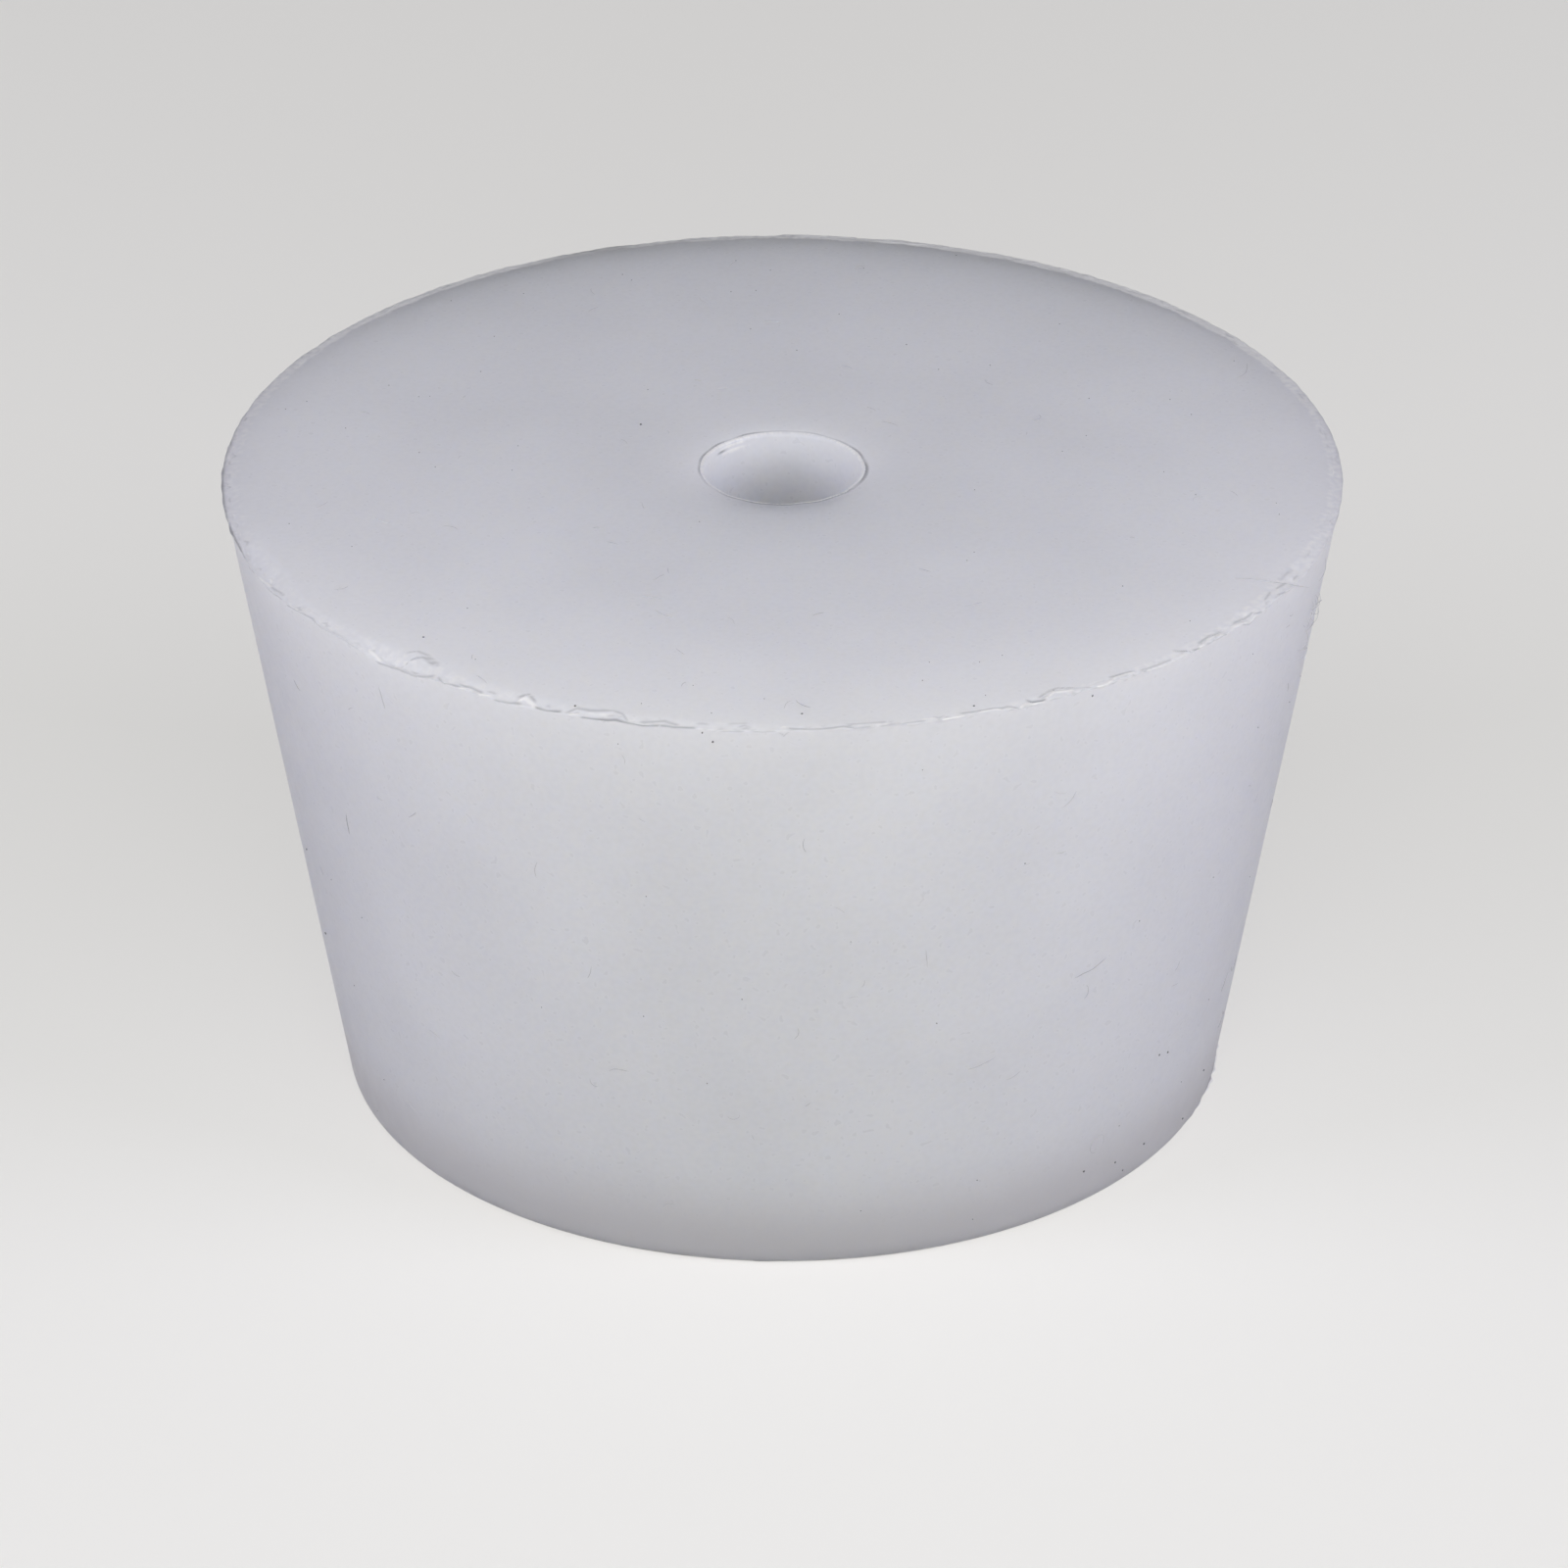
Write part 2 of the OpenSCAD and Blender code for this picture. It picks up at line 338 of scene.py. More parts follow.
class Moulding:
    """Corners and faces of the stopper, laid down ring by ring along its profile."""

    def __init__(self):
        self.corners = []
        self.faces = []
        self.torn = []
        self.crease_shade = []
        self.total = 0
        self.first = None
        self.last = None

    def ring(self, count, radius, height, torn=0.0, crease_shade=0.0):
        """Adds a ring of corners and joins it to the one before."""
        angles = ring_angles(count)
        radius = np.broadcast_to(radius, count)
        points = np.empty((count, 3))
        points[:, 0] = radius * np.cos(angles)
        points[:, 1] = radius * np.sin(angles)
        points[:, 2] = height
        self.corners.append(points)
        self.torn.append(np.broadcast_to(torn, count))
        self.crease_shade.append(np.broadcast_to(crease_shade, count))
        numbers = np.arange(self.total, self.total + count)
        self.total += count
        if self.last is None:
            self.first = numbers
        else:
            self.join(self.last, numbers)
        self.last = numbers

    def join(self, before, after):
        """Faces between two rings, of which one may have a whole number of times as many corners."""
        steps = min(len(before), len(after))
        near = len(before) // steps
        far = len(after) // steps
        for step in range(steps):
            low = [before[(step * near + k) % len(before)] for k in range(near + 1)]
            high = [after[(step * far + k) % len(after)] for k in range(far + 1)]
            self.faces.append(low + high[::-1])

    def piece(self, name):
        """Closes the profile and makes the object, with how torn and white each corner is, partly as a
        painted highlight, and how much painted crease shade it gets.
        """
        self.join(self.last, self.first)
        thing = new_piece(name, np.concatenate(self.corners), self.faces)
        for label, values in (("torn", self.torn), ("crease_shade", self.crease_shade)):
            layer = thing.data.attributes.new(label, "FLOAT", "POINT")
            layer.data.foreach_set("value", np.clip(np.concatenate(values), 0, 1).astype(np.float32))
        return thing


def lay_foot(body):
    """The narrow face from the hole outwards, then its rounded edge with the scraps of flash."""
    for radius in FOOT_FACE_RINGS:
        body.ring(FACE_COUNT, radius, 0)
    body.ring(FOOT_COUNT, FOOT_FACE_R - FOOT_MARGIN, 0)
    girth = 2 * math.pi * FOOT_FACE_R
    ragged = 1 + SCRAP_RAGGED * uneven(FOOT_COUNT, girth, shortest=0.7, longest=4, seed=31)
    scrap = stretches(FOOT_SCRAPS, FOOT_COUNT) * np.clip(ragged, 0.3, 1.6)
    # Where a scrap stands out it is coloured white: torn rubber, and a painted glint on its edge
    whiteness = smooth_step(scrap, 0.0, SCRAP_WHITE)
    for step in range(FOOT_ARC_STEPS + 1):
        lean = -math.pi / 2 + (math.pi / 2 - LEAN) * step / FOOT_ARC_STEPS
        share = math.exp(-(((step - SCRAP_AT * FOOT_ARC_STEPS) / SCRAP_HALF) ** 2))
        # A faint painted shade runs along each side of a scrap
        beside = 0.05 < share < 0.3
        body.ring(
            FOOT_COUNT,
            FOOT_FACE_R + FOOT_R * math.cos(lean) + scrap * share,
            FOOT_R + FOOT_R * math.sin(lean),
            torn=whiteness * share,
            crease_shade=0.5 * whiteness * beside,
        )
    for height, white_share in ABOVE_SCRAPS:
        body.ring(FOOT_COUNT, wall_radius(height), height, torn=white_share * whiteness)


def lay_wall(body):
    """The tapered wall, up to just under the trimmed edge."""
    for height in WALL_RINGS:
        body.ring(FACE_COUNT, wall_radius(height), height)


def strands_by_chance(groups, chance):
    """Strands of the torn flash laid by chance, each bent a little at its middle."""
    strands = []
    for count, side, lengths, places, strengths in groups:
        for _ in range(count):
            start = chance.uniform(*side)
            length = chance.uniform(*lengths)
            place = chance.uniform(*places)
            bent = place + chance.normal() * CHANCE_BEND
            points = ((start, place), (start + length / 2, bent), (start + length, place))
            strands.append((points, chance.uniform(*CHANCE_HALF_WIDTH), chance.uniform(*strengths)))
    return tuple(strands)


def marks(strands, across):
    """How strongly the strands mark the ring of corners at a distance from the edge."""
    around = (np.degrees(ring_angles(RIM_COUNT)) - SEAM) % 360 + SEAM
    narrowing = 1.0 if across > 0 else WALL_NARROWING
    total = np.zeros(RIM_COUNT)
    for points, half_width, strength in strands:
        directions, places = zip(*points)
        begun = smooth_step(around, directions[0] - STRAND_FADE, directions[0] + STRAND_FADE)
        ended = smooth_step(around, directions[-1] - STRAND_FADE, directions[-1] + STRAND_FADE)
        apart = (across - np.interp(around, directions, places)) / (half_width * narrowing)
        total = np.maximum(total, strength * begun * (1 - ended) * np.exp(-apart * apart))
    return total


def lay_torn_rim(body):
    """The parting line: the end of the wall, the torn edge, and the trimmed band up to the wide face."""
    girth = 2 * math.pi * RIM_R
    chance = np.random.default_rng(6)
    white_strands = WHITE_STRANDS + strands_by_chance(CHANCE_WHITE, chance)
    dark_strands = DARK_STRANDS + strands_by_chance(CHANCE_DARK, chance)
    waves = uneven(RIM_COUNT, girth, shortest=2, longest=9, seed=1)
    ripples = uneven(RIM_COUNT, girth, shortest=0.5, longest=2, seed=2)
    drop = by_direction(TRIM_DROP, RIM_COUNT) + (EDGE_WAVES * waves + EDGE_RIPPLES * ripples)
    drop = np.maximum(drop, LEAST_DROP)
    edge = HEIGHT - drop
    lip_waves = uneven(RIM_COUNT, girth, shortest=1, longest=6, seed=4)
    out = by_direction(LIP_OUT, RIM_COUNT) * (1 + LIP_UNEVEN * lip_waves)
    band_waves = uneven(RIM_COUNT, girth, shortest=1.2, longest=7, seed=22)
    width = by_direction(BAND_WIDTH, RIM_COUNT) + BAND_UNEVEN * band_waves
    whiteness = by_direction(BAND_WHITE, RIM_COUNT)
    for across in RIM_RINGS:
        white = marks(white_strands, across)
        dark = marks(dark_strands, across)
        band = smooth_step(across, *BAND_START) * (1 - smooth_step(across, BAND_FULL * width, width))
        grain = uneven(RIM_COUNT, girth, shortest=0.3, longest=1.2, seed=int(1000 + across * 100))
        proud = STRAND_RELIEF * white - STRAND_RELIEF * dark + GRAIN_RELIEF * grain * band * whiteness
        # This relief stands out from the wall and up from the band
        facing = smooth_step(across, -EDGE_ROUND, EDGE_ROUND) * math.pi / 2
        lip = out * math.exp(-(((across + LIP_BELOW) / LIP_HALF) ** 2))
        if across < 0:
            height = edge + across * math.cos(LEAN)
            radius = wall_radius(height)
        else:
            height = edge + drop * smooth_step(across, 0, width)
            radius = wall_radius(edge) - across
        radius = radius + np.minimum(lip + proud * math.cos(facing), LIP_R - RIM_R)
        # The white of the proud strands is partly a painted highlight, and the dark of the sunk ones is
        # painted shade
        body.ring(
            RIM_COUNT,
            radius,
            height + proud * math.sin(facing),
            torn=np.maximum(white, whiteness * band),
            crease_shade=dark,
        )


def lay_wide_face(body):
    """The smooth wide face, from the trimmed band in to the hole."""
    for radius in WIDE_FACE_RINGS:
        body.ring(FACE_COUNT, radius, HEIGHT)


def lay_mouth(body):
    """The bevelled, slightly torn ring where the hole meets the wide face: a groove with painted shade, and
    a white line that is a painted highlight.
    """
    girth = 2 * math.pi * (BORE_R + MOUTH_W)
    waves = uneven(MOUTH_COUNT, girth, shortest=1.2, longest=5.0, seed=11)
    fray = uneven(MOUTH_COUNT, girth, shortest=0.15, longest=0.5, seed=12)
    dark = by_direction(MOUTH_DARK, MOUTH_COUNT) * np.clip(1 + 0.25 * waves, 0.3, 1.3)
    white = by_direction(MOUTH_WHITE, MOUTH_COUNT) * np.clip(1 + 0.2 * fray, 0.4, 1.3)
    wide = stretches(MOUTH_WIDE_DARK, MOUTH_COUNT)
    slit = stretches(MOUTH_SLIT, MOUTH_COUNT)
    torn_wall = stretches(MOUTH_TORN_WALL, MOUTH_COUNT)
    edge = BORE_R + MOUTH_W + MOUTH_WAVES * waves + MOUTH_FRAY * fray
    # For each ring, how far outside the torn edge it lies and how far it is sunk, in mm, and then how torn
    # and white it looks, partly as a painted highlight, and how much painted crease shade it gets
    rings = (
        (0.16, 0, 0, 0),
        (0.10, 0.01 * wide, 0, 0.6 * wide),
        (0.05, 0.012 * wide, 0, 0.6 * dark + 0.4 * wide),
        (0, MOUTH_GROOVE * dark, 0, dark),
        (-0.04, 0.012, 0.8 * white, 0),
        (-0.10, 0.016 - MOUTH_FRAY * fray, white, 0),
        (-0.15, 0.035, 0.6 * white, 0),
    )
    for outside, sunk, torn, crease_shade in rings:
        body.ring(MOUTH_COUNT, edge + outside, HEIGHT - sunk, torn, crease_shade)
    body.ring(MOUTH_COUNT, BORE_R + 0.01, HEIGHT - 0.8 * MOUTH_DEPTH, torn=0.2 * white)
    body.ring(MOUTH_COUNT, BORE_R, HEIGHT - 1.1 * MOUTH_DEPTH, torn=torn_wall)
    for depth, share in SLIT_RINGS:
        body.ring(
            MOUTH_COUNT,
            BORE_R + SLIT_CUT * slit * share,
            HEIGHT - depth,
            torn=torn_wall * (1 - share) * 0.8,
            crease_shade=slit * share,
        )


def lay_bore(body):
    """The straight hole, down to the narrow face."""
    for height in BORE_RINGS:
        body.ring(FACE_COUNT, BORE_R, height)


def build_stopper():
    """The whole moulding as one closed mesh."""
    body = Moulding()
    lay_foot(body)
    lay_wall(body)
    lay_torn_rim(body)
    lay_wide_face(body)
    lay_mouth(body)
    lay_bore(body)
    return body.piece("silicone_stopper")


def on_face(radius, direction, lift=0.0):
    """A point on the wide face, lifted off it, in mm."""
    angle = math.radians(direction)
    return np.array([radius * math.cos(angle), radius * math.sin(angle), HEIGHT + lift])


def on_wall(height, direction, lift=0.0):
    """A point on the tapered wall, lifted off it, in mm."""
    angle = math.radians(direction)
    radius = wall_radius(height) + lift * math.cos(LEAN)
    return np.array([radius * math.cos(angle), radius * math.sin(angle), height - lift * math.sin(LEAN)])


def add_fibre(corners, faces, chance, place, across, direction, heading, length, bend, lift, thickness):
    """Adds a thin six-sided fibre that curls over the wide face or the wall and tapers at its ends."""
    sides = 6
    steps = max(6, int(length / FIBRE_STEP))
    step_length = length / steps
    out = place(across, direction, 1.0) - place(across, direction, 0.0)
    path = []
    for step in range(steps + 1):
        path.append(place(across, direction, lift * (END_LIFT + math.sin(math.pi * step / steps))))
        radius = across if place is on_face else wall_radius(across)
        across += step_length * math.sin(math.radians(heading))
        direction += math.degrees(step_length * math.cos(math.radians(heading)) / radius)
        heading += bend * step_length + chance.normal() * FIBRE_CURL
    along = np.gradient(np.array(path), axis=0)
    side = np.cross(out, along)
    side /= np.linalg.norm(side, axis=1)[:, None]
    first = len(corners)
    for step in range(steps + 1):
        reach = thickness / 2 * (1 - FIBRE_TAPER * (2 * step / steps - 1) ** 4)
        for turn in range(sides):
            angle = 2 * math.pi * turn / sides
            corners.append(path[step] + reach * (math.cos(angle) * side[step] + math.sin(angle) * out))
    add_tube_faces(faces, first, steps, sides)


def add_tube_faces(faces, first, steps, sides):
    """Faces along a run of rings, and one across each end."""
    for step in range(steps):
        for turn in range(sides):
            low = first + step * sides
            after = (turn + 1) % sides
            faces.append([low + turn, low + after, low + sides + after, low + sides + turn])
    faces.append([first + turn for turn in reversed(range(sides))])
    faces.append([first + steps * sides + turn for turn in range(sides)])


def build_lint():
    """Fibres of lint that cling to the rubber, some of them in a tuft by the rim."""
    chance = np.random.default_rng(71)
    corners = []
    faces = []
    for place, fibres in ((on_face, FACE_FIBRES), (on_wall, WALL_FIBRES)):
        for across, direction, heading, length, bend in fibres:
            add_fibre(
                corners, faces, chance, place, across, direction, heading, length, bend,
                FIBRE_LIFT, FIBRE_THICKNESS,
            )
    for number in range(STRAY_FIBRES):
        place = on_face if number % 3 == 0 else on_wall
        across = chance.uniform(*(FACE_LINT if place is on_face else WALL_LINT))
        direction, heading = chance.uniform(0, 360, 2)
        length = chance.uniform(*STRAY_LENGTH)
        bend = chance.normal() * STRAY_BEND
        thickness = chance.uniform(*STRAY_THICKNESS)
        add_fibre(
            corners, faces, chance, place, across, direction, heading, length, bend,
            FIBRE_LIFT, thickness,
        )
    for _ in range(TUFT_FIBRES):
        across = TUFT_HEIGHT + chance.normal() * TUFT_SCATTER[0]
        direction = TUFT_DIRECTION + chance.normal() * TUFT_SCATTER[1]
        heading = chance.uniform(0, 360)
        length = chance.uniform(*TUFT_LENGTH)
        bend = chance.normal() * STRAY_BEND
        lift = chance.uniform(*TUFT_LIFT)
        add_fibre(
            corners, faces, chance, on_wall, across, direction, heading, length, bend,
            lift, TUFT_THICKNESS,
        )
    return new_piece("lint_fibres", corners, faces)


def add_speck(corners, faces, chance, place, across, direction, half):
    """Adds a small uneven grain that lies on the wide face or the wall, with half its width in mm."""
    sides = 8
    middle = place(across, direction)
    out = place(across, direction, 1.0) - middle
    # Any direction that isn't along the outward one gives the grain its own two sides
    side = np.cross(out, (0.3, 0.2, 1.0) if place is on_wall else (1.0, 0.0, 0.0))
    side /= np.linalg.norm(side)
    other = np.cross(out, side)
    stretch = chance.uniform(0.6, 1.3)
    first = len(corners)
    for lift, share in SPECK_RINGS:
        for turn in range(sides):
            angle = 2 * math.pi * turn / sides
            reach = half * share * chance.uniform(0.75, 1.25)
            flat = math.cos(angle) * stretch * side + math.sin(angle) * other
            corners.append(middle + reach * flat + out * lift * half)
    add_tube_faces(faces, first, len(SPECK_RINGS) - 1, sides)


def build_specks():
    """Dark specks of dust on the rubber, the largest where the real ones lie."""
    chance = np.random.default_rng(83)
    corners = []
    faces = []
    for place, specks in ((on_face, FACE_SPECKS), (on_wall, WALL_SPECKS)):
        for across, direction in specks:
            add_speck(corners, faces, chance, place, across, direction, SPECK_HALF)
    inner, outer = FACE_DUST
    for _ in range(STRAY_SPECKS):
        radius = inner + (outer - inner) * math.sqrt(chance.random())
        add_speck(corners, faces, chance, on_face, radius, chance.uniform(0, 360), STRAY_SPECK_HALF)
        height = chance.uniform(*WALL_DUST)
        add_speck(corners, faces, chance, on_wall, height, chance.uniform(0, 360), STRAY_SPECK_HALF)
    return new_piece("dust_specks", corners, faces)


def colour(text):
    """An sRGB hex colour as linear RGBA."""
    parts = [int(text[k:k + 2], 16) / 255 for k in (1, 3, 5)]
    return [p / 12.92 if p <= 0.04045 else ((p + 0.055) / 1.055) ** 2.4 for p in parts] + [1.0]


def add_node(owner, kind, settings=None, **links):
    """Adds a shader node with its settings, and its inputs as values or as other nodes' outputs."""
    node = owner.node_tree.nodes.new(kind)
    for key, value in (settings or {}).items():
        setattr(node, key, value)
    for key, value in links.items():
        name = key.replace("_", " ")
        socket = node.inputs[int(name[6:])] if name.startswith("input ") else node.inputs[name]
        if isinstance(value, bpy.types.NodeSocket):
            owner.node_tree.links.new(value, socket)
        else:
            socket.default_value = value
    return node


def new_material(name):
    """An empty material with nodes."""
    material = bpy.data.materials.new(name)
    material.use_nodes = True
    material.node_tree.nodes.clear()
    return material


# Sizes of what shows in the rubber and on its skin
CLOUD_SIZE = 7 * MM  # patches of cloudiness
MOTTLE_SIZE = 0.25 * MM
SKIN_SIZE = 0.7 * MM  # the unevenness that a satin mould leaves
TEAR_SIZE = 0.14 * MM  # the tiny faces of torn rubber
SKIN_RELIEF = 0.012 * MM
# Painted shade: the foot is coloured greyer below this height
FOOT_SHADE_TOP = 5 * MM  # the height up to which the foot looks greyer
# How far light travels inside, and shorter ways at the foot's edge and the hole's mouth, with the height
# and the distances from the axis between which those give way to the full one
TRAVEL = 13 * MM
FOOT_TRAVEL = 5 * MM
FOOT_TRAVEL_TOP = 1.5 * MM
MOUTH_TRAVEL = 7 * MM
MOUTH_TRAVEL_FROM = 3.3 * MM
MOUTH_TRAVEL_TO = 7 * MM


def moulded_silicone():
    """Platinum-cured silicone rubber from a satin mould: milky, with light travelling millimetres inside.

    The eye gets a soft, even white with a faint cloudiness, and a whiter, rougher look where it was torn.
    Painted highlights whiten the proud strands, the mouth's inner line and the foot's scraps; painted shade
    darkens creases, grooves and the foot.
    """
    material = new_material("moulded_milky_silicone")
    place = add_node(material, "ShaderNodeTexCoord").outputs["Object"]
    torn = add_node(material, "ShaderNodeAttribute", {"attribute_name": "torn"}).outputs["Fac"]
    crease_shade = add_node(material, "ShaderNodeAttribute", {"attribute_name": "crease_shade"}).outputs["Fac"]

    # Cloudiness of the cured rubber, some millimetres across, with a fine mottle and a few faint grains
    cloud = add_node(material, "ShaderNodeTexNoise", Vector=place, Scale=1 / CLOUD_SIZE, Detail=1.0)
    mottle = add_node(
        material, "ShaderNodeTexNoise", Vector=place, Scale=1 / MOTTLE_SIZE, Detail=0.0
    ).outputs["Fac"]
    clouded = add_node(
        material, "ShaderNodeMath", {"operation": "MULTIPLY_ADD"},
        input_0=mottle, input_1=0.5, input_2=cloud.outputs["Fac"],
    )
    milky = add_node(
        material, "ShaderNodeMix", {"data_type": "RGBA"},
        Factor=clouded.outputs[0], input_6=colour("#E0E1E5"), input_7=colour("#ECEDF1"),
    ).outputs[2]
    grains = add_node(
        material, "ShaderNodeMapRange", {"interpolation_type": "SMOOTHSTEP"},
        Value=mottle, From_Min=0.72, From_Max=0.8, To_Max=0.12,
    ).outputs[0]
    grainy = add_node(
        material, "ShaderNodeMix", {"data_type": "RGBA"},
        Factor=grains, input_6=milky, input_7=colour("#9A9B9F"),
    ).outputs[2]

    # Painted shade: the foot is coloured a little greyer and warmer over its lowest millimetres
    along_axis = add_node(material, "ShaderNodeSeparateXYZ", Vector=place).outputs["Z"]
    near_foot = add_node(
        material, "ShaderNodeMapRange", {"interpolation_type": "SMOOTHSTEP"},
        Value=along_axis, From_Max=FOOT_SHADE_TOP, To_Min=1.0, To_Max=0.0,
    ).outputs[0]
    foot_shaded = add_node(
        material, "ShaderNodeMix", {"data_type": "RGBA"},
        Factor=near_foot, input_6=grainy, input_7=colour("#DAD6D6"),
    ).outputs[2]

    # Torn rubber is full of tiny faces that throw the light straight back, so it looks white and flecked; on
    # the proud strands, the mouth's inner line and the foot's scraps this white is also a painted highlight
    flecked = add_node(
        material, "ShaderNodeMath", {"operation": "MULTIPLY_ADD"}, input_0=mottle, input_1=0.6, input_2=torn
    )
    white = add_node(
        material, "ShaderNodeMapRange", {"interpolation_type": "SMOOTHSTEP"},
        Value=flecked.outputs[0], From_Min=0.45, From_Max=1.1,
    ).outputs[0]
    depth_share = add_node(material, "ShaderNodeMapRange", Value=white, To_Min=1.0, To_Max=0.25)
    whitened = add_node(
        material, "ShaderNodeMix", {"data_type": "RGBA"},
        Factor=white, input_6=foot_shaded, input_7=colour("#FAFAF9"),
    ).outputs[2]
    # Painted shade: creases, the mouth's groove, the slit and the sides of the foot's scraps are coloured
    # darker
    crease_shaded = add_node(
        material, "ShaderNodeMix", {"data_type": "RGBA"},
        Factor=crease_shade, input_6=whitened, input_7=colour("#96979B"),
    ).outputs[2]

    # A shorter way for the light keeps the shade crisp at the foot's edge and at the hole's mouth
    level_part = add_node(
        material, "ShaderNodeVectorMath", {"operation": "MULTIPLY"}, input_0=place, input_1=(1.0, 1.0, 0.0)
    )
    from_axis = add_node(
        material, "ShaderNodeVectorMath", {"operation": "LENGTH"}, input_0=level_part.outputs[0]
    )
    foot_travel = add_node(
        material, "ShaderNodeMapRange",
        Value=along_axis, From_Max=FOOT_TRAVEL_TOP, To_Min=FOOT_TRAVEL, To_Max=TRAVEL,
    )
    mouth_travel = add_node(
        material, "ShaderNodeMapRange",
        Value=from_axis.outputs["Value"], From_Min=MOUTH_TRAVEL_FROM, From_Max=MOUTH_TRAVEL_TO,
        To_Min=MOUTH_TRAVEL, To_Max=TRAVEL,
    )
    travel = add_node(
        material, "ShaderNodeMath", {"operation": "MINIMUM"},
        input_0=foot_travel.outputs[0], input_1=mouth_travel.outputs[0],
    )

    # The satin of the mould: a fine unevenness of the skin, and a roughness that changes with it
    skin = add_node(material, "ShaderNodeTexNoise", Vector=place, Scale=1 / SKIN_SIZE, Detail=0.0)
    rough = add_node(
        material, "ShaderNodeMapRange", Value=skin.outputs["Fac"], From_Min=0.3, From_Max=0.7,
        To_Min=0.36, To_Max=0.5,
    )
    torn_rough = add_node(
        material, "ShaderNodeMath", {"operation": "MULTIPLY_ADD", "use_clamp": True},
        input_0=torn, input_1=0.35, input_2=rough.outputs[0],
    )
    tear = add_node(material, "ShaderNodeTexNoise", Vector=place, Scale=1 / TEAR_SIZE, Detail=0.0)
    torn_depth = add_node(material, "ShaderNodeMath", {"operation": "MULTIPLY"}, input_0=torn, input_1=2.5)
    relief = add_node(
        material, "ShaderNodeMath", {"operation": "MULTIPLY_ADD"},
        input_0=tear.outputs["Fac"], input_1=torn_depth.outputs[0], input_2=skin.outputs["Fac"],
    )
    bump = add_node(material, "ShaderNodeBump", Distance=SKIN_RELIEF, Height=relief.outputs[0])
    shader = add_node(
        material,
        "ShaderNodeBsdfPrincipled",
        {"subsurface_method": "RANDOM_WALK"},
        Base_Color=crease_shaded,
        Roughness=torn_rough.outputs[0],
        IOR=1.41,
        Subsurface_Weight=depth_share.outputs[0],
        Subsurface_Radius=(1.0, 0.95, 0.85),
        Subsurface_Scale=travel.outputs[0],
        Normal=bump.outputs[0],
    )
    add_node(material, "ShaderNodeOutputMaterial", Surface=shader.outputs[0])
    return material


def matt_fibre_or_dust(name, shade_size, dark, light):
    """A dull material whose shade changes from one fibre or grain to the next."""
    material = new_material(name)
    place = add_node(material, "ShaderNodeTexCoord").outputs["Object"]
    shade = add_node(material, "ShaderNodeTexNoise", Vector=place, Scale=1 / shade_size, Detail=2.0)
    tint = add_node(
        material, "ShaderNodeMix", {"data_type": "RGBA"},
        Factor=shade.outputs["Fac"], input_6=colour(dark), input_7=colour(light),
    ).outputs[2]
    shader = add_node(material, "ShaderNodeBsdfPrincipled", Base_Color=tint, Roughness=0.88)
    add_node(material, "ShaderNodeOutputMaterial", Surface=shader.outputs[0])
    return material


def seen_rays(owner):
    """1 for the rays by which a backdrop is seen: straight, in a gloss or through glass."""
    path = add_node(owner, "ShaderNodeLightPath")
    straight = add_node(
        owner, "ShaderNodeMath", {"operation": "MAXIMUM"},
        input_0=path.outputs["Is Camera Ray"], input_1=path.outputs["Is Glossy Ray"],
    )
    return add_node(
        owner, "ShaderNodeMath", {"operation": "MAXIMUM"},
        input_0=straight.outputs[0], input_1=path.outputs["Is Transmission Ray"],
    ).outputs[0]


BENCH_R = 3000  # in mm
BENCH_SIDES = 64
BENCH_COLOUR = "#F2F1EE"  # where it is seen
BENCH_GLOW = 0.55  # the share of its look that no shadow reaches
UNDER_FOOT = (18 * MM, 20 * MM)  # between which distances from the axis its bounced light falls off


def bench():
    """A pale matt bench that looks pale and even where it is seen, and throws little light back up."""
    material = new_material("pale_matt_bench")
    seen = seen_rays(material)

    # What leaves the foot is thrown back into it, and little of what falls beside the stopper is
    place = add_node(material, "ShaderNodeNewGeometry").outputs["Position"]
    reach = add_node(material, "ShaderNodeVectorMath", {"operation": "LENGTH"}, input_0=place)
    beside = add_node(
        material, "ShaderNodeMapRange", {"interpolation_type": "SMOOTHSTEP"},
        Value=reach.outputs["Value"], From_Min=UNDER_FOOT[0], From_Max=UNDER_FOOT[1],
    )
    bounced = add_node(
        material, "ShaderNodeMix", {"data_type": "RGBA"},
        Factor=beside.outputs[0], input_6=colour("#D8D8D8"), input_7=colour("#484848"),
    ).outputs[2]

    # What is seen is partly lit, so that it keeps the stopper's shadow, and partly one even colour
    tint = add_node(
        material, "ShaderNodeMix", {"data_type": "RGBA"},
        Factor=seen, input_6=bounced, input_7=colour(BENCH_COLOUR),
    ).outputs[2]
    matt = add_node(material, "ShaderNodeBsdfPrincipled", Base_Color=tint, Roughness=0.8)
    glow = add_node(material, "ShaderNodeEmission", Color=colour(BENCH_COLOUR), Strength=1.0)
    glow_share = add_node(
        material, "ShaderNodeMath", {"operation": "MULTIPLY"}, input_0=seen, input_1=BENCH_GLOW
    )
    surface = add_node(
        material, "ShaderNodeMixShader", Fac=glow_share.outputs[0], input_1=matt.outputs[0],
        input_2=glow.outputs[0],
    )
    add_node(material, "ShaderNodeOutputMaterial", Surface=surface.outputs[0])
    corners = [(BENCH_R * math.cos(a), BENCH_R * math.sin(a), 0) for a in ring_angles(BENCH_SIDES)]
    floor = new_piece("bench", corners, [range(BENCH_SIDES)])
    floor.data.materials.append(material)


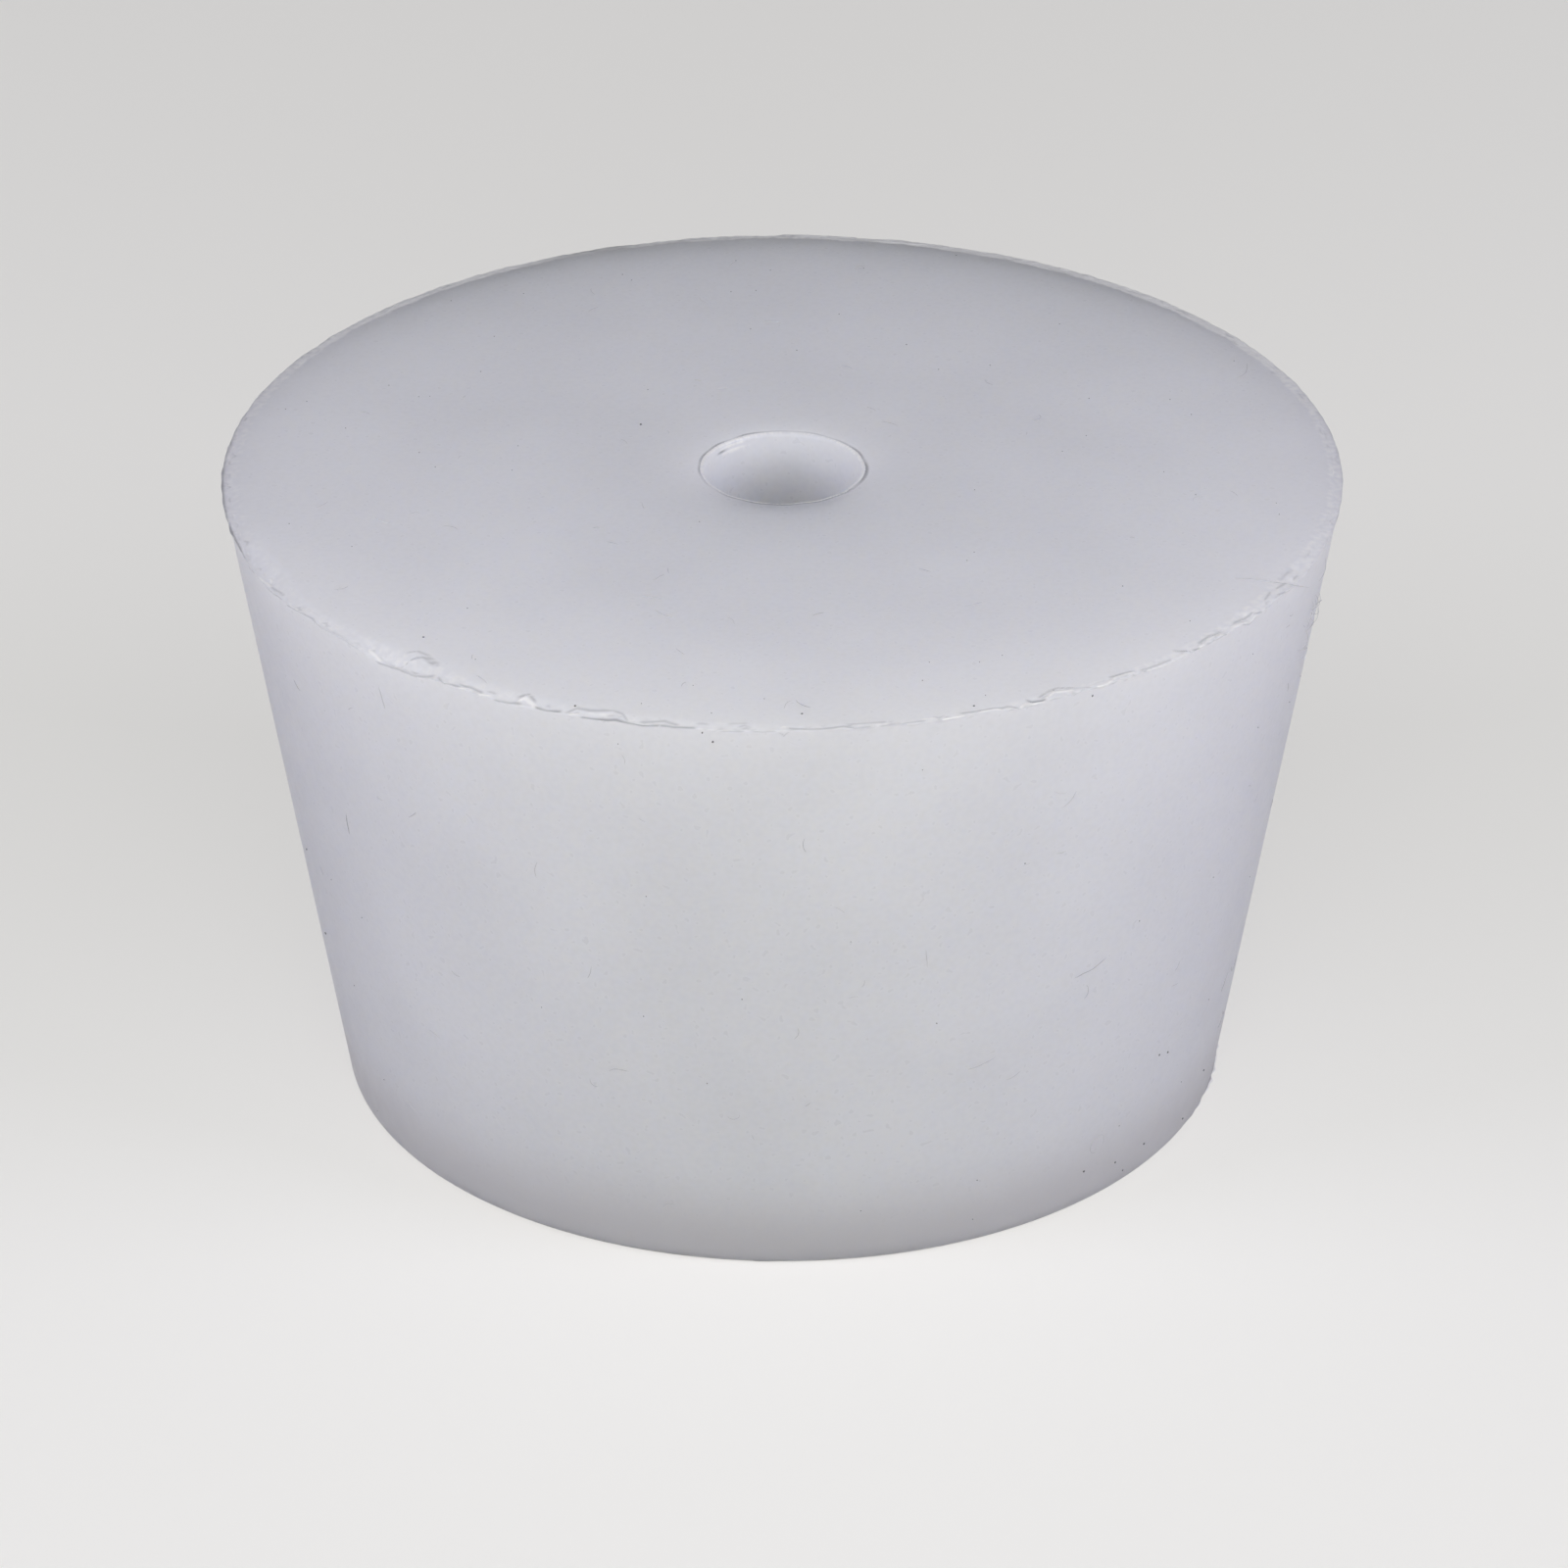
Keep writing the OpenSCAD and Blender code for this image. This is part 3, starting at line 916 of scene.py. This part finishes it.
# Soft lamps: place and size in metres, brightness on a white surface that faces the lamp, and tint
LAMPS = {
    "left_panel": ((-0.22, -0.10, 0.14), (0.14, 0.14), 0.47, "#F1EFFF"),
    "right_panel": ((0.22, -0.10, 0.14), (0.14, 0.14), 0.52, "#F1EFFF"),
    "low_front_panel": ((0, -0.25, 0.08), (0.16, 0.08), 0.31, "#FFFFF7"),
    "high_front_panel": ((0, -0.12, 0.16), (0.16, 0.10), 0.19, "#FDFFF1"),
    "low_back_panel": ((0, 0.50, 0.035), (0.80, 0.06), 0.17, "#FFFFFF"),
}
LAMP_AIM = Vector((0, 0, 0.015))
ROOM_LIGHT = 0.03  # how brightly the room lights the stopper
ROOM_SEEN = 0.6  # how bright it looks where it is seen


def studio():
    """Soft lamps close to the front and sides, a weak one behind, and a dim pale room."""
    for name, (place, size, level, tint) in LAMPS.items():
        light = bpy.data.lights.new(name, "AREA")
        light.shape = "RECTANGLE"
        light.size, light.size_y = size
        light.energy = level * (math.pi * Vector(place).length) ** 2
        light.color = colour(tint)[:3]
        thing = bpy.data.objects.new(name, light)
        thing.location = place
        thing.rotation_mode = "QUATERNION"
        thing.rotation_quaternion = (LAMP_AIM - Vector(place)).to_track_quat("-Z", "Y")
        thing.visible_camera = False
        bpy.context.scene.collection.objects.link(thing)
    room = bpy.data.worlds.new("room")
    room.use_nodes = True
    room.node_tree.nodes.clear()
    bpy.context.scene.world = room
    strength = add_node(
        room, "ShaderNodeMix", {"data_type": "FLOAT"}, Factor=seen_rays(room), input_2=ROOM_LIGHT,
        input_3=ROOM_SEEN,
    )
    backdrop = add_node(room, "ShaderNodeBackground", Strength=strength.outputs[0])
    add_node(room, "ShaderNodeOutputWorld", Surface=backdrop.outputs[0])


# The photograph's viewpoint, fitted to the stopper's outline
IMAGE_W = 1600  # in pixels
FOCAL_LENGTH = 8811.4  # in pixels of that image
SENSOR_W = 36.0  # in mm
CAMERA_PITCH = 28.256  # how far it looks down, in degrees
CAMERA_DISTANCE = 354.6 * MM
CAMERA_AIM = Vector((0.06 * MM, 0, 12.03 * MM))


def camera():
    """The photograph's viewpoint: about a third of a metre away, looking down at 28 degrees."""
    lens = bpy.data.cameras.new("camera")
    lens.sensor_width = SENSOR_W
    lens.lens = SENSOR_W * FOCAL_LENGTH / IMAGE_W
    lens.clip_start = 0.05
    lens.clip_end = 10.0
    thing = bpy.data.objects.new("camera", lens)
    pitch = math.radians(CAMERA_PITCH)
    back = Vector((0, -math.cos(pitch), math.sin(pitch)))
    thing.location = CAMERA_AIM + back * CAMERA_DISTANCE
    thing.rotation_mode = "QUATERNION"
    thing.rotation_quaternion = (-back).to_track_quat("-Z", "Y")
    bpy.context.scene.collection.objects.link(thing)
    bpy.context.scene.camera = thing


stopper = build_stopper()
# Cotton lint gives thin greyish matt threads, and settled dust gives dull dark grains
cotton_lint = matt_fibre_or_dust("grey_cotton_lint", 3 * MM, "#8C8D92", "#F0F0F2")
settled_dust = matt_fibre_or_dust("dark_settled_dust", 0.3 * MM, "#4A4A4C", "#86868A")
finishes = ((stopper, moulded_silicone()), (build_lint(), cotton_lint), (build_specks(), settled_dust))
for piece, material in finishes:
    piece.data.materials.append(material)
    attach(piece, "root")
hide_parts("stopper")
bench()
studio()
camera()
bpy.context.scene.view_settings.view_transform = "Standard"

bpy.context.view_layer.update()
